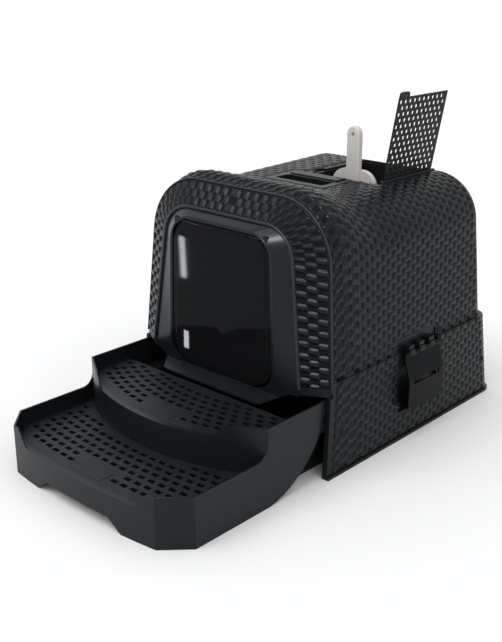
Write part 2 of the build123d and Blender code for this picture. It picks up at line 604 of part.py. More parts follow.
def scoop():
    """Sieve head, open to the rear, with the handle running down over its front."""
    stand = HOOD_TOP - WALL - BIN_DEPTH + BIN_WALL + SCOOP_STAND
    half, head_top = HEAD_WIDTH / 2, stand + HEAD_LENGTH
    inner_half, inner_top = half - HEAD_WALL, head_top - HEAD_WALL
    outline = closed([(-half, stand), (-half, head_top), (half, head_top), (half, stand)])
    outline = fillet(outline.vertices().sort_by(Axis.Y)[-2:], HEAD_SHOULDER)
    inner = closed([(-inner_half, stand - OVER), (-inner_half, inner_top), (inner_half, inner_top),
                    (inner_half, stand - OVER)])
    inner = fillet(inner.vertices().sort_by(Axis.Y)[-2:], HEAD_SHOULDER - HEAD_WALL)
    front, back = SCOOP_Y - SCOOP_DEPTH / 2, SCOOP_Y + SCOOP_DEPTH / 2
    plate = back - HEAD_DEPTH
    head = upright_prism(outline, plate, back) - upright_prism(inner, plate + HEAD_WALL, back + OVER)
    for i in range(SIEVE_SLOTS):
        x = (i - (SIEVE_SLOTS - 1) / 2) * SIEVE_SLOT_PITCH
        head -= block(x - SIEVE_SLOT_WIDTH / 2, x + SIEVE_SLOT_WIDTH / 2, plate - OVER, back + OVER,
                      stand + SIEVE_FOOT, stand + SIEVE_FOOT + SIEVE_SLOT_LENGTH)
    grip = block(-HANDLE_WIDTH / 2, HANDLE_WIDTH / 2, front, front + HANDLE_THICKNESS,
                 head_top - HANDLE_FOOT, HANDLE_TOP)
    grip = fillet(grip.edges().filter_by(Axis.Y).sort_by(Axis.Z)[-2:], HANDLE_WIDTH * 0.49)
    rims = grip.faces().sort_by(Axis.Y)[0].edges() + grip.faces().sort_by(Axis.Y)[-1].edges()
    grip = fillet(rims, HANDLE_ROUND)
    grip -= Pos(0, SCOOP_Y, HANDLE_TOP - HANDLE_WIDTH / 2) * Rot(90, 0, 0) * Cylinder(
        HANG_HOLE_R, 2 * HANDLE_THICKNESS)
    return Pos(SCOOP_X, 0, 0) * (head + grip)


# ---- latches
def latch(side):
    """Bulged plate hung from the hood, with a hook that catches under the base's ledge."""
    half = LATCH_THICKNESS / 2
    rear = LATCH_FRONT + LATCH_WIDTH
    inside_x, hook_top = LATCH_BULGE_X - LATCH_THICKNESS, LATCH_FOOT_Z + LATCH_THICKNESS
    profile = closed([(LATCH_AXIS_X + half, LATCH_AXIS_Z), (LATCH_BULGE_X, LATCH_BULGE_Z),
                      (LATCH_BULGE_X, LATCH_FOOT_Z), (HOOK_TIP_X, LATCH_FOOT_Z), (HOOK_TIP_X, hook_top),
                      (inside_x, hook_top), (inside_x, LATCH_BULGE_Z), (LATCH_AXIS_X - half, LATCH_AXIS_Z)])
    plate = upright_prism(profile, LATCH_FRONT, rear)
    plate -= block(LATCH_AXIS_X + KNUCKLE_R, BIG, LATCH_FRONT + SLOT_END, rear - SLOT_END,
                   LATCH_BULGE_Z - FINGER_SLOT, LATCH_BULGE_Z)
    for i, (near, far) in enumerate(latch_slots()):
        if i % 2 == 0:
            plate += rod_y(LATCH_AXIS_X, near, far, LATCH_AXIS_Z, KNUCKLE_R)
        else:
            plate -= rod_y(LATCH_AXIS_X, near - KNUCKLE_GAP, far + KNUCKLE_GAP, LATCH_AXIS_Z,
                           KNUCKLE_R + KNUCKLE_GAP)
    plate -= rod_y(LATCH_AXIS_X, 0, BIG, LATCH_AXIS_Z, LATCH_PIN_R + LATCH_PIN_GAP)
    return plate if side > 0 else mirrored(plate)


def latch_pin(side):
    return rod_y(side * LATCH_AXIS_X, LATCH_FRONT, LATCH_FRONT + LATCH_WIDTH, LATCH_AXIS_Z, LATCH_PIN_R)


# ---- drawer
def step_plan(corner_half, facet_back, facet_front, crown, rear):
    """Plan of a step: straight sides, chamfered front corners and a bowed front."""
    sides = Polyline((corner_half, -facet_front), (DRAWER_HALF, -facet_back), (DRAWER_HALF, rear),
                     (-DRAWER_HALF, rear), (-DRAWER_HALF, -facet_back), (-corner_half, -facet_front))
    bow = ThreePointArc((-corner_half, -facet_front), (0, -crown), (corner_half, -facet_front))
    plan = make_face([*sides.edges(), bow])
    return fillet(plan.vertices().sort_by(Axis.Y)[-2:], DRAWER_REAR_CORNER)


def lower_plan():
    return step_plan(LOWER_CORNER_HALF, LOWER_FACET_BACK, LOWER_FACET_FRONT, STEP_REACH, DRAWER_REAR)


def upper_plan():
    return step_plan(UPPER_CORNER_HALF, UPPER_FACET_BACK, UPPER_FACET_FRONT, UPPER_CROWN, DRAWER_REAR)


def inset_plan(plan, amount):
    return offset(plan, -amount, kind=Kind.INTERSECTION)


def layer(plan, z0, z1):
    return Pos(0, 0, z0) * extrude(plan, z1 - z0)


def dip(tread, y0, y1):
    """What is taken off the middle of a front wall, so that it is low between curved shoulders."""
    run = BIG / 2 * DIP_SLOPE
    outline = closed([(-DIP_HALF, tread), (DIP_HALF, tread), (DIP_HALF + run, tread + BIG / 2),
                      (-DIP_HALF - run, tread + BIG / 2)])
    outline = fillet(outline.vertices().sort_by(Axis.Y)[:2], DIP_ROUND)
    return upright_prism(outline, y0, y1)


def drawer_tray():
    low, high = lower_plan(), upper_plan()
    body = layer(low, 0, LOWER_WALL_TOP) + layer(high, LOWER_WALL_TOP, DRAWER_TOP)
    wall, inner_half = DRAWER_WALL, DRAWER_HALF - DRAWER_WALL
    upper_lip = UPPER_TREAD + GRATE_RISE
    lower_lip = LOWER_TREAD + GRATE_RISE
    upper_seat = UPPER_TREAD - GRATE_THICKNESS
    lower_seat = LOWER_TREAD - GRATE_THICKNESS
    # litter tray, and the well and ledge for the upper grate
    tray_half = TRAY_HALF - wall
    body -= layer(inset_plan(high, wall), TRAY_FLOOR, upper_seat - LEDGE) & block(
        -tray_half, tray_half, -BIG, BIG, 0, BIG)
    over = DRAWER_TOP + OVER
    for inset, bottom, top in ((wall, RAIL_HEIGHT + wall, upper_seat - LEDGE),
                               (LIP + LEDGE, RAIL_HEIGHT + wall, over),
                               (LIP, upper_seat, over), (wall, upper_lip, over)):
        body -= layer(inset_plan(high, inset), bottom, top)
    behind_grate = block(-BIG, BIG, -GRATE_REAR, BIG, 0, BIG)
    body -= layer(inset_plan(high, wall), RAIL_HEIGHT + wall, over) & behind_grate
    # shallow pan under the lower grate
    over = LOWER_WALL_TOP + OVER
    for inset, bottom, top in ((wall, PAN_FLOOR + wall, lower_seat - LEDGE),
                               (LIP + LEDGE, PAN_FLOOR + wall, over),
                               (LIP, lower_seat, over), (wall, lower_lip, over), (wall, -OVER, PAN_FLOOR)):
        body -= layer(inset_plan(low, inset), bottom, top) - layer(high, -OVER, over)
    # hollow behind the side skirts, which sweep up behind the steps
    body -= layer(inset_plan(high, wall), -OVER, RAIL_HEIGHT) - block(
        -TRAY_HALF, TRAY_HALF, -BIG, BIG, -BIG, BIG)
    start, middle = (-SKIRT_BACK, RAIL_HEIGHT), (-SKIRT_MID_Y, SKIRT_MID_Z)
    under = Polyline((-SKIRT_FRONT, 0), (-SKIRT_FRONT, -OVER), (BIG, -OVER), (BIG, RAIL_HEIGHT), start)
    sweep = make_face([*under.edges(), ThreePointArc(start, middle, (-SKIRT_FRONT, 0))])
    body -= side_prism(sweep, TRAY_HALF, BIG) + side_prism(sweep, -BIG, -TRAY_HALF)
    # low middles of both front walls, and the finger notch
    body -= dip(upper_lip, -UPPER_CROWN - OVER, -UPPER_FACET_FRONT + LIP + LEDGE)
    body -= dip(lower_lip, -STEP_REACH - OVER, -LOWER_FACET_FRONT + LIP + LEDGE)
    foot_half = NOTCH_HALF + NOTCH_SPREAD
    notch = closed([(-foot_half, 0), (-NOTCH_HALF, NOTCH_HEIGHT), (NOTCH_HALF, NOTCH_HEIGHT),
                    (foot_half, 0), (foot_half, -OVER), (-foot_half, -OVER)])
    body -= upright_prism(notch, -STEP_REACH - OVER, -LOWER_FACET_BACK)
    # curved webs between the upper step's corners and the lower side walls
    corner = closed([(-UPPER_FACET_BACK, LOWER_WALL_TOP), (-UPPER_FACET_BACK - GUSSET, LOWER_WALL_TOP),
                     (-UPPER_FACET_BACK, LOWER_WALL_TOP + GUSSET)])
    round_off = Pos(-UPPER_FACET_BACK - GUSSET, LOWER_WALL_TOP + GUSSET) * Circle(GUSSET)
    web = side_prism(corner - round_off, inner_half, DRAWER_HALF)
    return body + web + mirrored(web)


# ---- grates
def front_edge(x, corner_half, facet_back, facet_front, crown):
    """Front of a step at x: the bow, then the corner facet."""
    across = abs(x)
    if across <= corner_half:
        return -crown + (crown - facet_front) * (across / corner_half) ** 2
    return -facet_front + (across - corner_half) / (DRAWER_HALF - corner_half) * (facet_front - facet_back)


def lower_front(x):
    return front_edge(x, LOWER_CORNER_HALF, LOWER_FACET_BACK, LOWER_FACET_FRONT, STEP_REACH)


def upper_front(x):
    return front_edge(x, UPPER_CORNER_HALF, UPPER_FACET_BACK, UPPER_FACET_FRONT, UPPER_CROWN)


def grate_holes(front, rear, crown, bow, corner_half):
    """Centres of the staggered holes: rows bowed like the front, clear of edges and plain pad."""
    clear_x, clear_y = HOLE_WIDTH / 2 + HOLE_MARGIN, HOLE_DEPTH / 2 + HOLE_MARGIN
    pad_rear = -crown + LIP + PAD_MARGIN + PAD_DEPTH
    limit = DRAWER_HALF - LIP - clear_x
    places = []
    columns = int(2 * limit / HOLE_PITCH_X) + 1
    rows = int((crown - GRATE_REAR) / HOLE_PITCH_Y) + 3
    for row in range(rows):
        for column in range(-columns, columns + 1):
            x = (column + row % 2 / 2) * HOLE_PITCH_X
            y = -crown + LIP + clear_y + bow * (x / corner_half) ** 2 + row * HOLE_PITCH_Y
            near = max(front(x - clear_x), front(x + clear_x)) + LIP
            far = min(rear(x - clear_x), rear(x), rear(x + clear_x))
            on_pad = abs(x) < PAD_HALF + clear_x and y < pad_rear + clear_y
            if abs(x) <= limit and near <= y - clear_y and y + clear_y <= far and not on_pad:
                places.append((x, y))
    return places


def grate(plate, tread, holes, crown):
    plate = layer(plate, tread - GRATE_THICKNESS, tread)
    cutter = Sketch() + [Pos(x, y) * Rectangle(HOLE_WIDTH, HOLE_DEPTH) for x, y in holes]
    plate -= layer(cutter, tread - GRATE_THICKNESS - 1, tread + 1)
    pad_front = -crown + LIP + PAD_MARGIN
    pad = block(-PAD_HALF, PAD_HALF, pad_front, pad_front + PAD_DEPTH, tread - 1, tread + PAD_RISE)
    return plate + chamfer(pad.faces().sort_by(Axis.Z)[-1].edges(), PAD_RISE * 0.9)


def lower_grate():
    plan = inset_plan(lower_plan(), LIP + GRATE_CLEARANCE) - offset(
        upper_plan(), GRATE_CLEARANCE, kind=Kind.INTERSECTION)
    holes = grate_holes(lower_front, upper_front, STEP_REACH, STEP_REACH - LOWER_FACET_FRONT,
                        LOWER_CORNER_HALF)
    return grate(plan, LOWER_TREAD, holes, STEP_REACH)


def upper_grate():
    ahead = Pos(0, -GRATE_REAR - BIG / 2) * Rectangle(BIG, BIG)
    plan = inset_plan(upper_plan(), LIP + GRATE_CLEARANCE) & ahead
    holes = grate_holes(upper_front, lambda x: -GRATE_REAR, UPPER_CROWN, UPPER_CROWN - UPPER_FACET_FRONT,
                        UPPER_CORNER_HALF)
    return grate(plan, UPPER_TREAD, holes, UPPER_CROWN)


# ---- build and write every piece
pieces = {
    "base_housing": base_housing(),
    "hood_shell": hood_shell(),
    "door_surround": door_surround(),
    "handle_panel": handle_panel(),
    "scoop_bin": scoop_bin(),
    "flap_panel": flap_panel(),
    "flap_hinge_rod": flap_hinge_rod(),
    "lid": lid(),
    "lid_hinge_pin": lid_hinge_pin(),
    "scoop": scoop(),
    "drawer_tray": drawer_tray(),
    "lower_grate": lower_grate(),
    "upper_grate": upper_grate(),
}
for side, name in ((1, "right"), (-1, "left")):
    pieces["runner_" + name] = runner(side)
    pieces["guide_" + name] = guide(side)
    pieces["latch_" + name] = latch(side)
    pieces["latch_pin_" + name] = latch_pin(side)

os.makedirs("parts", exist_ok=True)
centre_y = (BASE_DEPTH - STEP_REACH) / 2
for name, piece in pieces.items():
    export_step(Pos(0, -centre_y, 0) * piece, "parts/" + name + ".step")
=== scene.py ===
"""Drawer litter box: the look of every piece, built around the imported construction.

The file is laid out as a Blender add-on and is run as a script. Lengths are in metres, and MM turns
millimetres into them. A depth is the distance behind the foot of the hood's front, and an inset is the
distance in from the base's half width. Strands are stacked side by side, and columns are counted along
them. On the hood the strands are stacked round its arch, and on the base and the rear wall upwards.
"""
import json
import math

import bmesh
import bpy
import numpy as np
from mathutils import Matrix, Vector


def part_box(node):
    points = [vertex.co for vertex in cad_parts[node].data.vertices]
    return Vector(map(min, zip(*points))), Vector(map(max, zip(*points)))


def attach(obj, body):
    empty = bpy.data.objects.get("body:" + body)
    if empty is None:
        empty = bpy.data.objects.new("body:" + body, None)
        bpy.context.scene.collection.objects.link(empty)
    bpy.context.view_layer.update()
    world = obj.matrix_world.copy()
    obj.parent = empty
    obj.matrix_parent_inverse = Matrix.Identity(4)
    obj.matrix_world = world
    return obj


bl_info = {
    "name": "Drawer Litter Box",
    "version": (1, 0, 0),
    "blender": (4, 5, 0),
    "location": "View3D > Sidebar > Litter Box",
    "description": "Woven relief, trim and finishes of a hooded litter box with a drawer",
    "category": "Object",
}

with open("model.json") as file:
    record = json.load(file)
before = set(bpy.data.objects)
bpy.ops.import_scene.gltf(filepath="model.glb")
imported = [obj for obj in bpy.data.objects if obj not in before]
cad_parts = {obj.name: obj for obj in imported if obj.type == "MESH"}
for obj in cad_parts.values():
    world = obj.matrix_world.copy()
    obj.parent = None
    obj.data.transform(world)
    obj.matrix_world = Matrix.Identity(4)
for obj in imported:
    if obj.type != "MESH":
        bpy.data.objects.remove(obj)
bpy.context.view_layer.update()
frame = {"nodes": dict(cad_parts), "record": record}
MM = 0.001
FAR = 1.0                                  # further than any plain field

# ---- sizes from the frame
BASE_LOW, BASE_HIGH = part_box("base_housing")
HOOD_LOW, HOOD_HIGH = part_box("hood_shell")
FLAP_LOW, FLAP_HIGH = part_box("flap_panel")
LATCH_LOW, LATCH_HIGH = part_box("latch_right")
PANEL_LOW, PANEL_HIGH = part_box("handle_panel")
BIN_LOW, BIN_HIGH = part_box("scoop_bin")
FOOT_Y = BASE_LOW.y                        # foot of the hood's front and of the base's
HALF_WIDTH = BASE_HIGH.x
SHOULDER_Z = BASE_HIGH.z                   # top of the base
BROW_TOP = HOOD_HIGH.z
BAND_FOOT = HOOD_LOW.z                     # lower end of the hood's front
BODY_REAR = HOOD_HIGH.y                    # rear wall at the shoulder

# ---- the hood's shape, as in the construction
HOOD_TOP = BROW_TOP - 21 * MM
SECTION_FOOT = BAND_FOOT - 1 * MM          # the sections start a little under the front
BAND_LEAN = math.radians(2.8)
REAR_LEAN = 22 * MM                        # how far the rear wall leans in up to the hood's top
REAR_SLOPE = REAR_LEAN / (HOOD_TOP - SHOULDER_Z)
REAR_ROUND = 14 * MM
BODY_START = 12 * MM                       # depths of the body's first and last section
BODY_END = BODY_REAR - FOOT_Y + REAR_LEAN
BODY_FOOT_INSETS = 8.5 * MM, 9 * MM        # each pair is front and rear
BODY_TOP_INSETS = 30 * MM, 21 * MM
BODY_CORNERS = 94 * MM, 68 * MM
EDGE_RISE = 13 * MM                        # front edge over the hood's top
BROW_DEPTHS = np.linspace(48 * MM, 138 * MM, 5)
SECTION_DEPTHS = (BODY_START, *BROW_DEPTHS, BODY_END)
MOUTH_INSETS = 48 * MM, 77 * MM            # foot and top of the slanted band's inner edge
MOUTH_CORNER = 52 * MM
MOUTH_DROP = 22 * MM                       # its top under the hood's
MOUTH_DEPTH = -10 * MM

# ---- the base's shape, as in the construction
BASE_CORNER = 30 * MM
BASE_FOOT_INSET = 3.5 * MM
SHOULDER_INSETS = 7 * MM, 4 * MM           # front and rear
SHOULDER_FRONT = 10 * MM                   # shoulder behind the front of the foot
SHOULDER_REAR = 32 * MM                    # shoulder before the rear of the foot

# ---- plain fields that the weave leaves free
# the latch pocket is cut 5 mm past the latch's ends, 10 mm under it and 15 mm over the base
POCKET_RIM = 4 * MM                        # smooth rim round the pocket
POCKET_FRONT = LATCH_LOW.y - 5 * MM - POCKET_RIM
POCKET_REAR = LATCH_HIGH.y + 5 * MM + POCKET_RIM
POCKET_FOOT = LATCH_LOW.z - 10 * MM - POCKET_RIM
POCKET_TOP = SHOULDER_Z + 15 * MM + POCKET_RIM
WINDOW_DEPTHS = 30 * MM, 415 * MM          # middles of the snap windows
WINDOW_HALF = 5 * MM                       # half a window with its rim
WINDOW_FOOT = 61 * MM                      # heights that a window and its rim reach
WINDOW_TOP = 71 * MM
PANEL_RIM = 1.5 * MM                       # smooth rim before and beside the handle panel
PANEL_REAR_RIM = 2 * MM
LID_SHIFT = 2 * MM                         # the lid's field is the bin's flange, moved right by this
LID_REAR_RIM = 8 * MM                      # and made longer behind it by this
TOP_ZONE = 12 * MM                         # fields of the hood's top count down to here
EDGE_STRIP = 1.2 * MM                      # smooth strip behind the front edge and beside the mouth
BAND_EDGE_STRIP = 1 * MM                   # smooth strip on the band before the front edge
BAND_FOOT_STRIP = 12 * MM
BODY_FOOT_STRIP = 3 * MM                   # smooth strip at the body's foot, ahead of the base
BODY_FOOT_REACH = 16 * MM                  # how far back from the base's front that strip reaches
HOOD_OVERLAP = 3 * MM                      # behind it the weave starts this far under the shoulder
REAR_FOOT_STRIP = 2 * MM
BASE_FOOT_STRIP = 6 * MM
BASE_FRONT_STRIP = 12 * MM
BASE_FIRST_COLUMN = 14 * MM                # way from the base's front to its first column

# ---- the weave
WIDE_COLUMNS = 3                           # columns behind the front edge that are wider
WIDE_DEEPER = 0.35                         # how much deeper the relief is in them
BAND_DEEPER = 0.45
WALL_ROOT = 0.5 * MM                       # how far a border goes into the wall
LEDGE_ROOT = 5 * MM                        # the same on top of the base's shoulder
BORDER = 1.4 * MM                          # way in which the relief rises from its border
SPARE = 2.5 * MM                           # width of the grid that is kept past a border
REAR_SPARE = 4 * MM                        # the hood's grids end this far before its rear and its top
HOOD_STEPS = 1.3 * MM, 1.4 * MM            # steps of the grid round the arch and backwards
REAR_STEPS = 1.7 * MM, 1.45 * MM           # across and upwards
BASE_STEPS = 1.4 * MM, 1.3 * MM            # round the outline and upwards
BAND_STEP = 1.15 * MM                      # round the arch
BAND_ROWS = 43                             # from the mouth to the front edge

# ---- the stage
DOOR_LAMP_RADIANCE = 55
CAMERA_PLACE = (0.969, -1.0745, 0.701)     # camera fitted to the object's straight edges
CAMERA_TURN = (69.96, 0, 42.84)
CAMERA_LENS = 55.37
CAMERA_SENSOR = 36


# ---- outlines of the hood and the base
def between(pair, share):
    """Straight mix of a pair of values."""
    return pair[0] + (pair[1] - pair[0]) * share


def arch(foot_half, top_half, foot, top, corner, fractions):
    """Points round a trapezium whose two upper corners are rounded, from the right foot over the top.

    fractions runs from 0 to 5: the whole part names the stretch (side, corner, top, corner, side) and
    the rest is the share of it. A side is its foot plus the share of its length along its slope, a
    corner is its centre plus the radius times the cosine and sine of the angle, and the left half
    mirrors the right. Returns x, z and the outward normal's x and z.
    """
    lean = math.atan2(foot_half - top_half, top - foot)
    reach = corner * math.tan((math.pi / 2 - lean) / 2)
    side_length = math.hypot(foot_half - top_half, top - foot) - reach
    side = np.array([math.cos(lean), math.sin(lean)])
    start = np.array([foot_half, foot])
    up = np.array([-math.sin(lean), math.cos(lean)])
    centre = start + up * side_length - side * corner
    stretch = np.minimum(np.floor(fractions), 4).astype(int)
    share = fractions - stretch
    mirrored = stretch > 2
    stretch = np.where(mirrored, 4 - stretch, stretch)
    share = np.where(mirrored, 1 - share, share)
    places = [stretch == 0, stretch == 1]
    angle = lean + share * (math.pi / 2 - lean)
    x = np.select(places, [start[0] + up[0] * side_length * share, centre[0] + corner * np.cos(angle)],
                  centre[0] * (1 - 2 * share))
    z = np.select(places, [start[1] + up[1] * side_length * share, centre[1] + corner * np.sin(angle)],
                  centre[1] + corner)
    turn = np.select(places, [lean, angle], math.pi / 2)
    sign = np.where(mirrored, -1.0, 1.0)
    return sign * x, z, sign * np.cos(turn), np.sin(turn)


def body_arch(depth, top, fractions):
    """Section of the hood's body at a depth, with its insets and corners mixed from front to rear.

    Where the top is over the hood's own, the sides go on at the same slope.
    """
    share = (depth - BODY_START) / (BODY_END - BODY_START)
    foot_half = HALF_WIDTH - between(BODY_FOOT_INSETS, share)
    top_half = HALF_WIDTH - between(BODY_TOP_INSETS, share)
    top_half -= (foot_half - top_half) * (top - HOOD_TOP) / (HOOD_TOP - BAND_FOOT)
    return arch(foot_half, top_half, SECTION_FOOT, top, between(BODY_CORNERS, share), fractions)


def leaned(section, depth):
    """Lays a section on a front that leans back from a depth: x, y, z and normal x, z.

    With the height over the front's foot, y grows by its sine of the lean and z by its cosine.
    """
    x, z, nx, nz = section
    height = z - BAND_FOOT
    y = FOOT_Y + depth + height * math.sin(BAND_LEAN)
    return x, y, BAND_FOOT + height * math.cos(BAND_LEAN), nx, nz


def upright(section, depth):
    """Stands a section at a depth: x, y, z and normal x, z."""
    x, z, nx, nz = section
    return x, np.full_like(x, FOOT_Y + depth), z, nx, nz


def mouth_section(fractions):
    """Inner edge of the slanted band, round the door surround."""
    foot_half, top_half = (HALF_WIDTH - inset for inset in MOUTH_INSETS)
    outline = arch(foot_half, top_half, SECTION_FOOT, HOOD_TOP - MOUTH_DROP, MOUTH_CORNER, fractions)
    return leaned(outline, MOUTH_DEPTH)


def edge_section(fractions):
    """Outer edge of the slanted band, which is the front edge of the hood's body."""
    return leaned(body_arch(BODY_START, HOOD_TOP + EDGE_RISE, fractions), BODY_START)


def body_sections(fractions):
    """The body's sections from its front edge to its rear, with the brow coming down in a half wave."""
    sections = [edge_section(fractions)]
    for depth in BROW_DEPTHS:
        share = (depth - BROW_DEPTHS[0]) / (BROW_DEPTHS[-1] - BROW_DEPTHS[0])
        top = HOOD_TOP + (BROW_TOP - HOOD_TOP) * (1 + math.cos(math.pi * share)) / 2
        sections.append(upright(body_arch(depth, top, fractions), depth))
    sections.append(upright(body_arch(BODY_END, HOOD_TOP, fractions), BODY_END))
    return sections


def brow_section(fractions):
    """The body's section in the middle of the brow."""
    return body_sections(fractions)[1 + len(BROW_DEPTHS) // 2]


def base_sections(fractions):
    """The base's outline at the floor and at its shoulder, as x, y and z.

    Each is the arch laid flat: right side, rear right corner, rear, corner, left side.
    """
    foot_half = HALF_WIDTH - BASE_FOOT_INSET
    foot = arch(foot_half, foot_half, FOOT_Y, BASE_HIGH.y - BASE_FOOT_INSET, BASE_CORNER, fractions)
    front_half, rear_half = (HALF_WIDTH - inset for inset in SHOULDER_INSETS)
    shoulder = arch(front_half, rear_half, FOOT_Y + SHOULDER_FRONT, BASE_HIGH.y - SHOULDER_REAR,
                    BASE_CORNER, fractions)
    return [(*foot[:2], np.zeros_like(fractions)), (*shoulder[:2], np.full_like(fractions, SHOULDER_Z))]


def base_foot_section(fractions):
    """The base's outline at the floor."""
    return base_sections(fractions)[0]


def rear_wall(z):
    """Where the hood's rear wall stands at a height: the rear less the slope times the height."""
    return BODY_REAR - REAR_SLOPE * (z - SHOULDER_Z)


# ---- mesh tools
def smoothstep(low, high, value):
    """Rises from 0 to 1 between low and high: three squares of the share less two cubes of it."""
    share = np.clip((value - low) / (high - low), 0, 1)
    return share * share * (3 - 2 * share)


def least(*distances):
    """The smallest of several distances at each point."""
    return np.minimum.reduce(np.broadcast_arrays(*distances))


def distance_to_field(a, b, low, high):
    """Distance outside a rectangle with two corners in two coordinates, negative inside it."""
    past_a = np.maximum(low[0] - a, a - high[0])
    past_b = np.maximum(low[1] - b, b - high[1])
    outside = np.hypot(np.maximum(past_a, 0), np.maximum(past_b, 0))
    return outside + np.minimum(np.maximum(past_a, past_b), 0)


def grid_faces(rows, columns):
    """Quads of a grid whose points are stored row by row."""
    index = np.arange(rows * columns).reshape(rows, columns)
    return np.stack([index[:-1, :-1], index[:-1, 1:], index[1:, 1:], index[1:, :-1]], -1).reshape(-1, 4)


def add_mesh(name, points, quads, body, material, relief=None):
    """Makes an object of quads, with its relief as a point attribute, from which the weave's finish
    paints shade into the recesses and light onto the strands.
    """
    used = np.unique(quads)
    order = np.full(len(points), -1)
    order[used] = np.arange(len(used))
    mesh = bpy.data.meshes.new(name)
    mesh.vertices.add(len(used))
    mesh.vertices.foreach_set("co", points[used].astype(np.float32).ravel())
    mesh.loops.add(quads.size)
    mesh.loops.foreach_set("vertex_index", order[quads].astype(np.int32).ravel())
    mesh.polygons.add(len(quads))
    mesh.polygons.foreach_set("loop_start", np.arange(0, quads.size, 4, dtype=np.int32))
    mesh.polygons.foreach_set("use_smooth", np.ones(len(quads), bool))
    mesh.update(calc_edges=True)
    mesh.validate()
    if relief is not None:
        attribute = mesh.attributes.new("relief", "FLOAT", "POINT")
        attribute.data.foreach_set("value", relief[used].astype(np.float32))
    piece = bpy.data.objects.new(name, mesh)
    bpy.context.scene.collection.objects.link(piece)
    mesh.materials.append(material)
    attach(piece, body)
    return piece


def lofted(sections, stations):
    """Grid of points and unit normals: straight lines between neighbouring sections.

    stations holds numbers from 0 to the last section's index. A point is the weighted mean of the two
    sections beside it, and the normal is the cross product of the grid's two directions.
    """
    outlines = np.array([np.stack(section[:3], -1) for section in sections])
    low = np.minimum(np.floor(stations).astype(int), len(sections) - 2)
    share = (stations - low)[:, None, None]
    points = outlines[low] * (1 - share) + outlines[low + 1] * share
    normal = np.cross(np.gradient(points, axis=0), np.gradient(points, axis=1))
    normal /= np.linalg.norm(normal, axis=-1, keepdims=True)
    return points, normal


def even_fractions(section, start, stop, pitch):
    """Fractions round an outline that step by about a pitch, and the way from the first to each."""
    samples = 4000
    fine = np.linspace(start, stop, samples)
    steps = np.diff(np.stack(section(fine)[:3]), axis=1)
    length = np.concatenate([[0], np.cumsum(np.linalg.norm(steps, axis=0))])
    way = np.linspace(0, length[-1], int(length[-1] / pitch) + 1)
    return np.interp(way, length, fine), way


def half_way_round(side, section, pitch):
    """Fractions round the right (1) or left (-1) half of an outline, and the way to each from its foot.

    An outline is cut in half at the fraction 2.5, the middle of its top.
    """
    if side > 0:
        return even_fractions(section, 0.0, 2.5, pitch)
    fractions, way = even_fractions(section, 2.5, 5.0, pitch)
    return fractions, way[-1] - way


def side_name(side):
    return "right" if side > 0 else "left"


def tube(name, path, radius, body, material):
    """A round bead: a circle of the radius, carried along a path without twist, with closed ends.

    A point is the path's plus the radius times cosine and sine of the turn along two directions square
    to the path. At each end one more circle has shrunk to the path's own point.
    """
    sides = 10
    ahead = np.gradient(path, axis=0)
    ahead /= np.linalg.norm(ahead, axis=1, keepdims=True)
    first = np.cross(ahead, np.array([0.0, 1.0, 0.0]))
    first /= np.linalg.norm(first, axis=1, keepdims=True)
    second = np.cross(ahead, first)
    turn = np.linspace(0, 2 * math.pi, sides + 1)[:-1, None]
    circles = path[:, None] + radius * (first[:, None] * np.cos(turn) + second[:, None] * np.sin(turn))
    circles = np.concatenate([circles, circles[:, :1]], axis=1)
    ends = [np.repeat(path[i][None, None], sides + 1, axis=1) for i in (0, -1)]
    points = np.concatenate([ends[0], circles, ends[1]], axis=0)
    weld(add_mesh(name, points.reshape(-1, 3), grid_faces(*points.shape[:2]), body, material))


def weld(piece):
    """Merges doubled points and turns all faces outward."""
    work = bmesh.new()
    work.from_mesh(piece.data)
    bmesh.ops.remove_doubles(work, verts=work.verts, dist=0.01 * MM)
    bmesh.ops.recalc_face_normals(work, faces=work.faces)
    work.to_mesh(piece.data)
    work.free()


# ---- the woven relief
def strand_height(stack, columns, strand, wide):
    """Height from 0 to 1 of strands that pass over and under the stakes.

    Strands lie side by side along the stack, one strand pitch each. A strand's section is the upper
    part of an ellipse. Along its length it follows a cosine with a period of two columns, and dips under
    every second stake where that cosine is low. Its neighbours dip under the stakes between. In the wide
    columns it stays over one column only, and a thin stake with the section of a bell curve stands
    between the columns.
    """
    side_fall = 0.84                       # share of the ellipse's height that a strand's sides lose
    recess = 0.1                           # height that is left where a strand dips
    sway = 0.12                            # share of the height that follows the cosine
    softness = 0.16
    stake_height = 0.55
    stake_width = 0.055
    row = stack / strand
    number = np.floor(row)
    offset = 2 * (row - number) - 1
    section = np.sqrt(np.maximum(1 - side_fall * offset ** 2, 0))
    wave = np.cos(math.pi * (columns + number))
    dip = np.where(wide, -0.12, -0.72)
    over = smoothstep(dip - softness, dip + softness, wave)
    height = section * (recess + (1 - recess) * over) * (1 - sway + sway * wave)
    from_stake = columns + 0.5 - np.round(columns + 0.5)
    stake = stake_height * np.exp(-(from_stake / stake_width) ** 2)
    return np.where(wide, np.maximum(height, stake), height)


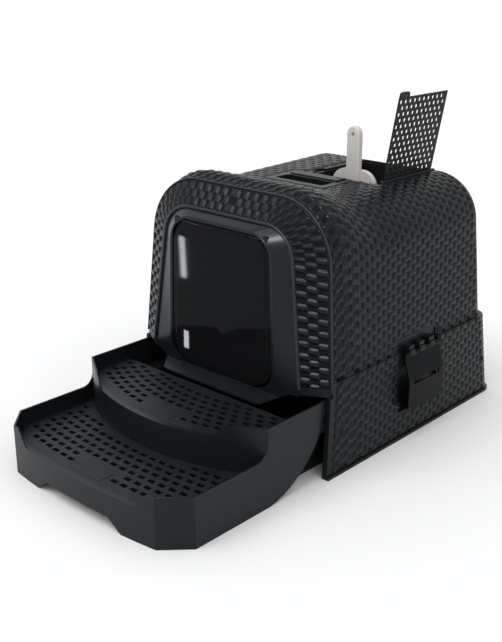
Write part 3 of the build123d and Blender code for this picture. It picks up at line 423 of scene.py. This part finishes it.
def weave_piece(name, grid, stack, columns, clear, settings, wide=False, deeper=1.0, root=WALL_ROOT):
    """Raises a grid along its normals by the woven relief, and makes the piece.

    The lift is the floor plus the strands' height times their depth. clear is the distance to the
    nearest plain field: where it runs out, the lift goes down to the root in a smooth step, and faces
    that lie wholly in a plain field are left out. The quads are turned over where their corners run the
    wrong way round for the outward normal.
    """
    points, normal = grid
    height = strand_height(stack, columns, settings.strand_pitch, wide)
    stand = smoothstep(0.0, BORDER, clear)
    lift = stand * (settings.weave_floor + height * settings.weave_depth * deeper) - (1 - stand) * root
    raised = (points + normal * lift[..., None]).reshape(-1, 3)
    quads = grid_faces(*lift.shape)
    quads = quads[(clear.ravel()[quads] > -SPARE).any(axis=1)]
    corners = raised[quads]
    facing = np.cross(corners[:, 2] - corners[:, 0], corners[:, 3] - corners[:, 1])
    if (facing * normal.reshape(-1, 3)[quads[:, 0]]).sum() < 0:
        quads = quads[:, ::-1]
    material = finishes(settings)["rattan_weave"]
    add_mesh(name, raised, quads, "housing", material, (height * stand).ravel())


def column_number(way, settings):
    """Column at a way along the strands: three wide columns, then narrow ones."""
    wide_end = WIDE_COLUMNS * settings.wide_pitch
    return np.where(way < wide_end, way / settings.wide_pitch,
                    WIDE_COLUMNS + (way - wide_end) / settings.stake_pitch)


def top_fields():
    """Plain fields on the hood's top, as corners in x and y: round the handle panel and the lid."""
    panel = ((PANEL_LOW.x - PANEL_RIM, PANEL_LOW.y - PANEL_RIM),
             (PANEL_HIGH.x + PANEL_RIM, PANEL_HIGH.y + PANEL_REAR_RIM))
    lid = ((BIN_LOW.x + LID_SHIFT, BIN_LOW.y), (BIN_HIGH.x + LID_SHIFT, BIN_HIGH.y + LID_REAR_RIM))
    return panel, lid


def hood_half(side, settings):
    """Weave of one half of the hood's body, from its foot to the middle of its top.

    The grid is the loft of the body's sections. It steps evenly round the brow and backwards.
    """
    round_step, back_step = HOOD_STEPS
    fractions, way = half_way_round(side, brow_section, round_step)
    depth = np.arange(BODY_START, BODY_REAR - FOOT_Y - REAR_SPARE, back_step)
    stations = np.interp(depth, SECTION_DEPTHS, range(len(SECTION_DEPTHS)))
    grid = lofted(body_sections(fractions), stations)
    x, y, z = np.moveaxis(grid[0], -1, 0)
    behind_edge = (depth - BODY_START)[:, None]
    columns = np.broadcast_to(column_number(behind_edge, settings), x.shape)
    # the weave starts at the front's foot, and behind it at the base's shoulder
    foot = np.where(y < FOOT_Y + BODY_FOOT_REACH, BAND_FOOT + BODY_FOOT_STRIP, SHOULDER_Z - HOOD_OVERLAP)
    pocket = distance_to_field(y, z, (POCKET_FRONT, 0), (POCKET_REAR, POCKET_TOP))
    on_top = z > HOOD_TOP - TOP_ZONE
    fields = [np.where(on_top, distance_to_field(x, y, *corners), FAR) for corners in top_fields()]
    clear = least(behind_edge - EDGE_STRIP, rear_wall(z) - REAR_ROUND - y, z - foot, pocket, *fields)
    wide = columns < WIDE_COLUMNS
    weave_piece("hood_weave_" + side_name(side), grid, np.broadcast_to(way, x.shape), columns, clear,
                settings, wide=wide, deeper=1.0 + WIDE_DEEPER * wide)


def rear_weave(settings):
    """Weave of the hood's rear wall, which is a leaning plane, inside its rounded rim.

    The border is a trapezium with round corners. The distance inside a corner is its radius less the
    distance from its centre.
    """
    half_grid = 170 * MM
    side_step, up_step = REAR_STEPS
    x, z = np.meshgrid(np.arange(-half_grid, half_grid, side_step),
                       np.arange(SHOULDER_Z + 1 * MM, HOOD_TOP - REAR_SPARE, up_step))
    points = np.stack([x, rear_wall(z), z], -1)
    normal = np.broadcast_to(np.array([0, 1, REAR_SLOPE]) / math.hypot(1, REAR_SLOPE), points.shape)
    taper = (BODY_TOP_INSETS[1] - BODY_FOOT_INSETS[1]) / (HOOD_TOP - SECTION_FOOT)
    half = HALF_WIDTH - BODY_FOOT_INSETS[1] - (z - BAND_FOOT) * taper - REAR_ROUND
    corner = BODY_CORNERS[1] - REAR_ROUND
    over = np.maximum(np.abs(x) - (half - corner), 0)
    rise = np.maximum(z - (HOOD_TOP - REAR_ROUND - corner), 0)
    clear = least(corner - np.hypot(over, rise), z - SHOULDER_Z - REAR_FOOT_STRIP, half - np.abs(x))
    columns = x / settings.stake_pitch
    weave_piece("hood_weave_rear", (points, normal), z - BAND_FOOT, columns, clear, settings)


def band_weave(settings):
    """Three columns of weave on the slanted band between the door surround and the front edge.

    The grid is the loft from the band's inner to its outer edge. Strands are counted from the middle of
    the top, down both sides.
    """
    margin = 2.4 * MM                      # from either edge to the first and last column
    fractions, way = even_fractions(edge_section, 0.0, 5.0, BAND_STEP)
    stations = np.linspace(0, 1, BAND_ROWS)
    points, normal = lofted([mouth_section(fractions), edge_section(fractions)], stations)
    span = np.linalg.norm(points[-1] - points[0], axis=-1)
    across = stations[:, None] * span
    columns = WIDE_COLUMNS * (across - margin) / (span - 2 * margin) - 0.5
    over_foot = points[..., 2] - BAND_FOOT
    clear = least(across - EDGE_STRIP, span - across - BAND_EDGE_STRIP, over_foot - BAND_FOOT_STRIP)
    stack = np.broadcast_to(np.abs(way - way[-1] / 2), columns.shape)
    weave_piece("front_band_weave", (points, normal), stack, columns, clear, settings, wide=True,
                deeper=1.0 + BAND_DEEPER)


def base_weave(side, settings):
    """Weave of one half of the base, from its front to the middle of its rear.

    The grid is the loft from the foot's outline to the shoulder's. Its last row, just over the shoulder,
    goes into the wall and closes the ledge under the hood.
    """
    round_step, up_step = BASE_STEPS
    fractions, way = half_way_round(side, base_foot_section, round_step)
    start = 5 * MM
    brink, ledge_row = SHOULDER_Z - 0.1 * MM, SHOULDER_Z + 0.15 * MM
    up = np.append(np.arange(start, SHOULDER_Z - 0.6 * MM, up_step), [brink, ledge_row])
    points, inward = lofted(base_sections(fractions), up / SHOULDER_Z)
    x, y, z = np.moveaxis(points, -1, 0)
    ledge = z > SHOULDER_Z
    front_strip = FOOT_Y + BASE_FRONT_STRIP + SHOULDER_FRONT * z / SHOULDER_Z
    pocket = distance_to_field(y, z, (POCKET_FRONT, POCKET_FOOT), (POCKET_REAR, FAR))
    windows = [distance_to_field(y, z, (FOOT_Y + depth - WINDOW_HALF, WINDOW_FOOT),
                                 (FOOT_Y + depth + WINDOW_HALF, WINDOW_TOP))
               for depth in WINDOW_DEPTHS]
    clear = least(z - BASE_FOOT_STRIP, np.where(ledge, 0, FAR), y - front_strip, pocket, *windows)
    columns = np.broadcast_to(column_number(way - BASE_FIRST_COLUMN, settings), x.shape)
    weave_piece("base_weave_" + side_name(side), (points, -inward), z - SHOULDER_Z, columns, clear,
                settings, wide=columns < WIDE_COLUMNS, root=np.where(ledge, LEDGE_ROOT, WALL_ROOT))


# ---- the door and the trim
def door_face(settings):
    """Shallow moulded face of the flap.

    It stands 1 mm out under a roll near its top and 0.35 mm over it, with a smooth step at the roll,
    whose line rises to both sides with the fourth power of x. A bulge of 0.35 mm is added, a cosine
    across times a sine upwards. At the border, a trapezium with round corners, the face goes down behind
    the flap's own front.
    """
    front = FLAP_LOW.y + 1.6 * MM          # the flap's barrel stands this far out in front of it
    sunk = 0.3 * MM                        # depth of the border behind the flap's front
    upper_height = 0.35 * MM
    roll_height = 0.65 * MM
    bulge_height = 0.35 * MM
    roll_drop = 26 * MM                    # middle of the roll under the flap's top
    roll_rise = 9 * MM                     # rise of the roll at the flap's sides
    taper = 8.5 * MM                       # the flap is this much narrower at its top, on each side
    corner = 39 * MM
    margin = 3.5 * MM                      # from the flap's edge to the face's border
    border = 3 * MM
    columns, rows = 220, 240
    x, z = np.meshgrid(np.linspace(FLAP_LOW.x, FLAP_HIGH.x, columns),
                       np.linspace(FLAP_LOW.z, FLAP_HIGH.z, rows))
    tall = FLAP_HIGH.z - FLAP_LOW.z
    share = (z - FLAP_LOW.z) / tall
    half = FLAP_HIGH.x - taper * share
    over = np.maximum(np.abs(x) - (half - corner), 0)
    rise = np.maximum(np.abs(z - (FLAP_LOW.z + FLAP_HIGH.z) / 2) - tall / 2 + corner, 0)
    clear = corner - np.hypot(over, rise) - margin
    under_roll = FLAP_HIGH.z - roll_drop - z + roll_rise * (x / half) ** 4
    face = upper_height + roll_height * smoothstep(-1.5 * MM, 2.5 * MM, under_roll)
    bulge = bulge_height * np.cos(math.pi * x / (2.2 * half)) * np.sin(math.pi * share)
    stand = smoothstep(0, border, clear)
    y = front + sunk * (1 - stand) - stand * (face + bulge)
    quads = grid_faces(*x.shape)
    quads = quads[(clear.ravel()[quads] > -0.5 * MM).all(axis=1)]
    add_mesh("door_face", np.stack([x, y, z], -1).reshape(-1, 3), quads, "flap",
             finishes(settings)["door_gloss"])


def trim_beads(settings):
    """Round beads on the hood's front edge, a little outside it, and on the surround's outer rim,
    coloured three times lighter than the casing as a painted highlight along the edges.
    """
    edge_radius = 1.5 * MM
    outside = 1.9 * MM                     # middle of the edge's bead outside the edge
    rim_radius = 2.8 * MM
    ahead = 0.8 * MM                       # middle of the rim's bead before the rim
    feet = 0.04, 4.96                      # the beads end a little over the hood's foot
    # painted highlight: the casing's colour made three times lighter, for the bright line that light
    # draws along the edges
    bead = plastic("Trim Bead", shade(settings.casing_color, 3), 0.28, specular=0.24)
    fractions = even_fractions(edge_section, *feet, 3 * MM)[0]
    x, y, z, nx, nz = edge_section(fractions)
    edge = np.stack([x + outside * nx, y, z + outside * nz], -1)
    tube("front_edge_bead", edge, edge_radius, "housing", bead)
    x, y, z = mouth_section(fractions)[:3]
    rim = np.stack([x, y - ahead, z], -1)
    tube("surround_rim", rim, rim_radius, "housing", bead)


# ---- materials
def node(tree, kind, x, y, **values):
    """A node at a place in its tree, with its own settings."""
    made = tree.nodes.new(kind)
    made.location = (x, y)
    for key, value in values.items():
        setattr(made, key, value)
    return made


def grain_group():
    """Shared finish of moulded plastic: a mottled colour, uneven gloss and a fine grain.

    A cloud of noise runs from 1 less the mottle to 1 plus it, and multiplies the colour and the
    roughness. A finer noise is the grain's height.
    """
    name = "Moulded Grain"
    if name in bpy.data.node_groups:
        return bpy.data.node_groups[name]
    group = bpy.data.node_groups.new(name, "ShaderNodeTree")
    for label, kind, default in (("Color", "NodeSocketColor", (0.04, 0.04, 0.04, 1)),
                                 ("Mottle", "NodeSocketFloat", 0.15),
                                 ("Roughness", "NodeSocketFloat", 0.45),
                                 ("Grain Scale", "NodeSocketFloat", 900.0),
                                 ("Grain Depth", "NodeSocketFloat", 0.1)):
        socket = group.interface.new_socket(label, in_out="INPUT", socket_type=kind)
        socket.default_value = default
    for label, kind in (("Color", "NodeSocketColor"), ("Roughness", "NodeSocketFloat"),
                        ("Normal", "NodeSocketVector")):
        group.interface.new_socket(label, in_out="OUTPUT", socket_type=kind)
    given = node(group, "NodeGroupInput", -900, 0)
    result = node(group, "NodeGroupOutput", 500, 0)
    place = node(group, "ShaderNodeTexCoord", -900, -300)
    cloud = node(group, "ShaderNodeTexNoise", -650, 100)
    cloud.inputs["Scale"].default_value = 14.0
    cloud.inputs["Detail"].default_value = 3.0
    fine = node(group, "ShaderNodeTexNoise", -650, -250)
    fine.inputs["Detail"].default_value = 2.0
    mottle = node(group, "ShaderNodeMapRange", -400, 150)
    mottle.inputs["From Min"].default_value = 0.3
    mottle.inputs["From Max"].default_value = 0.7
    low = node(group, "ShaderNodeMath", -650, 350, operation="SUBTRACT")
    low.inputs[0].default_value = 1.0
    high = node(group, "ShaderNodeMath", -650, 500, operation="ADD")
    high.inputs[0].default_value = 1.0
    tint = node(group, "ShaderNodeVectorMath", -100, 150, operation="SCALE")
    gloss = node(group, "ShaderNodeMath", -100, -50, operation="MULTIPLY")
    bump = node(group, "ShaderNodeBump", 150, -250)
    bump.inputs["Distance"].default_value = 0.2 * MM
    link = group.links.new
    link(place.outputs["Object"], cloud.inputs["Vector"])
    link(place.outputs["Object"], fine.inputs["Vector"])
    link(given.outputs["Grain Scale"], fine.inputs["Scale"])
    link(given.outputs["Mottle"], low.inputs[1])
    link(given.outputs["Mottle"], high.inputs[1])
    link(cloud.outputs["Fac"], mottle.inputs["Value"])
    link(low.outputs[0], mottle.inputs["To Min"])
    link(high.outputs[0], mottle.inputs["To Max"])
    link(given.outputs["Color"], tint.inputs[0])
    link(mottle.outputs["Result"], tint.inputs["Scale"])
    link(given.outputs["Roughness"], gloss.inputs[0])
    link(mottle.outputs["Result"], gloss.inputs[1])
    link(given.outputs["Grain Depth"], bump.inputs["Strength"])
    link(fine.outputs["Fac"], bump.inputs["Height"])
    link(tint.outputs["Vector"], result.inputs["Color"])
    link(gloss.outputs[0], result.inputs["Roughness"])
    link(bump.outputs["Normal"], result.inputs["Normal"])
    return group


def painted_relief_light(tree, color):
    """The colour with painted shade and light: darker in the recesses and lighter on the strands, by the
    relief attribute.
    """
    relief = node(tree, "ShaderNodeAttribute", -900, 250, attribute_name="relief")
    level = node(tree, "ShaderNodeMapRange", -700, 250)
    level.inputs["From Min"].default_value = 0.1
    level.inputs["From Max"].default_value = 0.9
    level.inputs["To Min"].default_value = 0.2
    level.inputs["To Max"].default_value = 1.5
    # painted shade and painted light: from 0.2 times the colour in the recesses to 1.5 times on the
    # strands
    shaded_tone = node(tree, "ShaderNodeVectorMath", -500, 200, operation="SCALE")
    shaded_tone.inputs[0].default_value = color
    tree.links.new(relief.outputs["Fac"], level.inputs["Value"])
    tree.links.new(level.outputs["Result"], shaded_tone.inputs["Scale"])
    return shaded_tone.outputs["Vector"]


def plastic(name, color, roughness, mottle=0.12, grain_scale=900.0, grain_depth=0.1, specular=0.5,
            woven=False):
    """A moulded plastic with a faint blue gloss. A woven one has painted shade in its recesses and
    painted light on its strands.
    """
    if name in bpy.data.materials:
        return bpy.data.materials[name]
    material = bpy.data.materials.new(name)
    material.use_nodes = True
    tree = material.node_tree
    shader = tree.nodes["Principled BSDF"]
    shader.inputs["Specular IOR Level"].default_value = specular
    shader.inputs["Specular Tint"].default_value = (0.86, 0.95, 1.0, 1)
    grain = node(tree, "ShaderNodeGroup", -350, 0)
    grain.node_tree = grain_group()
    grain.inputs["Color"].default_value = (*color, 1)
    grain.inputs["Mottle"].default_value = mottle
    grain.inputs["Roughness"].default_value = roughness
    grain.inputs["Grain Scale"].default_value = grain_scale
    grain.inputs["Grain Depth"].default_value = grain_depth
    link = tree.links.new
    # painted shade in the recesses and painted light on the strands, from the relief
    if woven:
        link(painted_relief_light(tree, color), grain.inputs["Color"])
    link(grain.outputs["Color"], shader.inputs["Base Color"])
    link(grain.outputs["Roughness"], shader.inputs["Roughness"])
    link(grain.outputs["Normal"], shader.inputs["Normal"])
    return material


def shade(color, times=1.0):
    """A colour made lighter or darker."""
    return tuple(times * part for part in color)


def finishes(settings):
    """Every finish by its slot in the record."""
    dark = settings.casing_color
    return {
        "casing": plastic("Casing Satin", shade(dark), 0.4, specular=0.16),
        # the weave's colour carries painted shade in its recesses and painted light on its strands
        "rattan_weave": plastic("Rattan Weave", shade(dark), 0.24, mottle=0.18, grain_scale=1400.0,
                                specular=0.12, woven=True),
        "surround": plastic("Surround Satin", shade(dark), 0.24, mottle=0.08, specular=0.22),
        "door_gloss": plastic("Door Gloss", shade(settings.door_color), 0.05, mottle=0.05,
                              grain_depth=0.01, specular=0.05),
        "drawer": plastic("Drawer Satin", shade(dark, 1.2), 0.32, mottle=0.08, specular=0.2),
        "grate": plastic("Grate Grain", shade(dark, 1.2), 0.5, grain_scale=1500.0, grain_depth=0.3,
                         specular=0.24),
        "handle_panel": plastic("Handle Satin", shade(dark, 1.3), 0.34, mottle=0.05, specular=0.12),
        "lid": plastic("Lid Grain", shade(dark, 0.8), 0.55, grain_scale=1500.0, grain_depth=0.3,
                       specular=0.2),
        "bin": plastic("Bin Plain", shade(dark, 0.6), 0.5, specular=0.2),
        "latch": plastic("Latch Semi Gloss", shade(dark, 0.4), 0.2, mottle=0.05, specular=0.06),
        "scoop": plastic("Scoop Ivory", shade(settings.scoop_color), 0.38, mottle=0.03),
        "slide_rail": plastic("Slide Rail", shade(dark, 0.8), 0.5, specular=0.2),
        "hinge_pin": plastic("Hinge Pin", shade(dark, 0.7), 0.4, specular=0.2),
    }


# ---- the stage
def white_to_camera(tree, lit, x):
    """Shows plain white to the camera, mirrors and glass, and the lit shader to all other rays."""
    path = node(tree, "ShaderNodeLightPath", x, 400)
    seen = node(tree, "ShaderNodeMath", x + 200, 400, operation="MAXIMUM")
    either = node(tree, "ShaderNodeMath", x + 400, 400, operation="MAXIMUM")
    white = node(tree, "ShaderNodeBackground", x + 400, 200)
    white.inputs["Color"].default_value = (1, 1, 1, 1)
    mix = node(tree, "ShaderNodeMixShader", x + 600, 300)
    tree.links.new(path.outputs["Is Camera Ray"], seen.inputs[0])
    tree.links.new(path.outputs["Is Glossy Ray"], seen.inputs[1])
    tree.links.new(seen.outputs[0], either.inputs[0])
    tree.links.new(path.outputs["Is Transmission Ray"], either.inputs[1])
    tree.links.new(either.outputs[0], mix.inputs["Fac"])
    tree.links.new(lit.outputs[0], mix.inputs[1])
    tree.links.new(white.outputs[0], mix.inputs[2])
    return mix


def studio_world(scene):
    """Even pale light from all round, seen as white."""
    world = bpy.data.worlds.new("Studio")
    scene.world = world
    world.use_nodes = True
    tree = world.node_tree
    lit = tree.nodes["Background"]
    lit.inputs["Color"].default_value = (0.72, 0.725, 0.735, 1)
    mix = white_to_camera(tree, lit, -800)
    tree.links.new(mix.outputs[0], tree.nodes["World Output"].inputs["Surface"])


def white_floor():
    """A wide matte floor that keeps the object's shadow."""
    bpy.ops.mesh.primitive_plane_add(size=60)
    floor = bpy.context.object
    floor.name = "floor"
    material = bpy.data.materials.new("Floor White")
    material.use_nodes = True
    shader = material.node_tree.nodes["Principled BSDF"]
    shader.inputs["Base Color"].default_value = (0.97, 0.97, 0.97, 1)
    shader.inputs["Roughness"].default_value = 0.9
    floor.data.materials.append(material)


def add_sun(name, strength, softness, turn):
    """A distant lamp, with its softness and turn in degrees."""
    light = bpy.data.lights.new(name, "SUN")
    light.energy = strength
    light.angle = math.radians(softness)
    lamp = bpy.data.objects.new(name, light)
    lamp.rotation_euler = [math.radians(angle) for angle in turn]
    bpy.context.scene.collection.objects.link(lamp)
    return lamp


def door_pieces():
    """The collection of the pieces that the door's highlight lamps light."""
    name = "Door Pieces"
    if name not in bpy.data.collections:
        pieces = bpy.data.collections.new(name)
        pieces.objects.link(frame["nodes"]["flap_panel"])
        if "door_face" in bpy.data.objects:
            pieces.objects.link(bpy.data.objects["door_face"])
    return bpy.data.collections[name]


def add_door_lamp(name, place, width, height):
    """A small upright panel that faces the door and shows only as a highlight in it."""
    light = bpy.data.lights.new(name, "AREA")
    light.shape = "RECTANGLE"
    light.size = width
    light.size_y = height
    light.energy = DOOR_LAMP_RADIANCE * math.pi * width * height
    lamp = bpy.data.objects.new(name, light)
    lamp.location = place
    lamp.rotation_euler = (math.radians(90), 0, 0)
    lamp.visible_camera = False
    lamp.visible_diffuse = False
    bpy.context.scene.collection.objects.link(lamp)
    lamp.light_linking.receiver_collection = door_pieces()


def photo_camera(scene):
    """The camera that was fitted to the photograph."""
    view = bpy.data.cameras.new("camera")
    view.sensor_fit = "VERTICAL"
    view.sensor_height = CAMERA_SENSOR
    view.lens = CAMERA_LENS
    camera = bpy.data.objects.new("camera", view)
    camera.location = CAMERA_PLACE
    camera.rotation_euler = [math.radians(angle) for angle in CAMERA_TURN]
    scene.collection.objects.link(camera)
    scene.camera = camera


# ---- settings and operators
class LitterBoxSettings(bpy.types.PropertyGroup):
    """Sizes and colours that a user would change."""
    strand_pitch: bpy.props.FloatProperty(
        name="Strand pitch", description="Height of one woven strand", default=8.65 * MM, unit="LENGTH")
    stake_pitch: bpy.props.FloatProperty(
        name="Stake pitch", description="Width of one column between stakes", default=12.5 * MM,
        unit="LENGTH")
    wide_pitch: bpy.props.FloatProperty(
        name="Wide stake pitch", description="Width of the three columns behind the front edge",
        default=20.5 * MM, unit="LENGTH")
    weave_depth: bpy.props.FloatProperty(
        name="Weave depth", description="Height of the strands over their recesses", default=1.9 * MM,
        unit="LENGTH")
    weave_floor: bpy.props.FloatProperty(
        name="Weave floor", description="Height of the recesses over the wall", default=0.3 * MM,
        unit="LENGTH")
    casing_color: bpy.props.FloatVectorProperty(
        name="Casing colour", description="Anthracite of the moulded pieces", subtype="COLOR", size=3,
        default=(0.0066, 0.0082, 0.0096), min=0, max=1)
    door_color: bpy.props.FloatVectorProperty(
        name="Door colour", description="Near black of the glossy flap", subtype="COLOR", size=3,
        default=(0.0062, 0.0066, 0.0072), min=0, max=1)
    scoop_color: bpy.props.FloatVectorProperty(
        name="Scoop colour", description="Warm light grey of the scoop", subtype="COLOR", size=3,
        default=(0.66, 0.63, 0.59), min=0, max=1)


class LITTERBOX_OT_finishes(bpy.types.Operator):
    """Finish of every construction piece, by its slot in the record"""
    bl_idname = "litterbox.finishes"
    bl_label = "Finishes"

    def execute(self, context):
        looks = finishes(context.scene.litter_box)
        slots = {entry["node"]: entry["material_slot"] for entry in frame["record"]["subparts"]}
        # the hood's own wall is plain, because its weave is made of pieces of its own
        plain_under_weave = {"rattan_weave": "casing"}
        for name, piece in frame["nodes"].items():
            slot = slots[name]
            piece.data.materials.clear()
            piece.data.materials.append(looks[plain_under_weave.get(slot, slot)])
        return {"FINISHED"}


class LITTERBOX_OT_hood_weave(bpy.types.Operator):
    """Weave relief of the hood: both halves of its body, its rear and its front band"""
    bl_idname = "litterbox.hood_weave"
    bl_label = "Hood Weave"

    def execute(self, context):
        settings = context.scene.litter_box
        for side in (1, -1):
            hood_half(side, settings)
        rear_weave(settings)
        band_weave(settings)
        return {"FINISHED"}


class LITTERBOX_OT_base_weave(bpy.types.Operator):
    """Weave relief of the base, down to its foot rim"""
    bl_idname = "litterbox.base_weave"
    bl_label = "Base Weave"

    def execute(self, context):
        for side in (1, -1):
            base_weave(side, context.scene.litter_box)
        return {"FINISHED"}


class LITTERBOX_OT_door_face(bpy.types.Operator):
    """Shallow moulded face of the swing door, with a roll along its top"""
    bl_idname = "litterbox.door_face"
    bl_label = "Door Face"

    def execute(self, context):
        door_face(context.scene.litter_box)
        return {"FINISHED"}


class LITTERBOX_OT_trim(bpy.types.Operator):
    """Rounded beads along the hood's front edge and round the door surround"""
    bl_idname = "litterbox.trim"
    bl_label = "Trim Beads"

    def execute(self, context):
        trim_beads(context.scene.litter_box)
        return {"FINISHED"}


class LITTERBOX_OT_stage(bpy.types.Operator):
    """White floor and world, soft lights and the camera"""
    bl_idname = "litterbox.stage"
    bl_label = "Stage"

    def execute(self, context):
        scene = context.scene
        studio_world(scene)
        white_floor()
        add_sun("key", 1.0, 45, (30, 0, -20))
        add_sun("side", 0.35, 50, (50, 0, 75))
        # a narrow lamp over the front that draws the highlights on the strands
        glint = add_sun("glint", 1.7, 12, (44, 0, 16))
        glint.visible_diffuse = False
        add_door_lamp("door_strip_high", (-0.4575, -0.45, 0.1325), 17 * MM, 88 * MM)
        add_door_lamp("door_strip_low", (-0.121, -0.143, 0.126), 11 * MM, 30 * MM)
        photo_camera(scene)
        scene.view_settings.view_transform = "Standard"
        return {"FINISHED"}


class LITTERBOX_PT_panel(bpy.types.Panel):
    """Sidebar panel that lists the pieces and their sizes"""
    bl_idname = "LITTERBOX_PT_panel"
    bl_label = "Litter Box"
    bl_space_type = "VIEW_3D"
    bl_region_type = "UI"
    bl_category = "Litter Box"

    def draw(self, context):
        settings = context.scene.litter_box
        for name in LitterBoxSettings.__annotations__:
            self.layout.prop(settings, name)
        for operator in OPERATORS:
            self.layout.operator(operator.bl_idname)


OPERATORS = (LITTERBOX_OT_finishes, LITTERBOX_OT_hood_weave, LITTERBOX_OT_base_weave,
             LITTERBOX_OT_door_face, LITTERBOX_OT_trim, LITTERBOX_OT_stage)
CLASSES = (LitterBoxSettings, *OPERATORS, LITTERBOX_PT_panel)


def register():
    for item in CLASSES:
        bpy.utils.register_class(item)
    bpy.types.Scene.litter_box = bpy.props.PointerProperty(type=LitterBoxSettings)


def unregister():
    del bpy.types.Scene.litter_box
    for item in reversed(CLASSES):
        bpy.utils.unregister_class(item)


def main():
    register()
    bpy.ops.litterbox.finishes()
    bpy.ops.litterbox.hood_weave()
    bpy.ops.litterbox.base_weave()
    bpy.ops.litterbox.door_face()
    bpy.ops.litterbox.trim()
    bpy.ops.litterbox.stage()


if __name__ == "__main__":
    main()
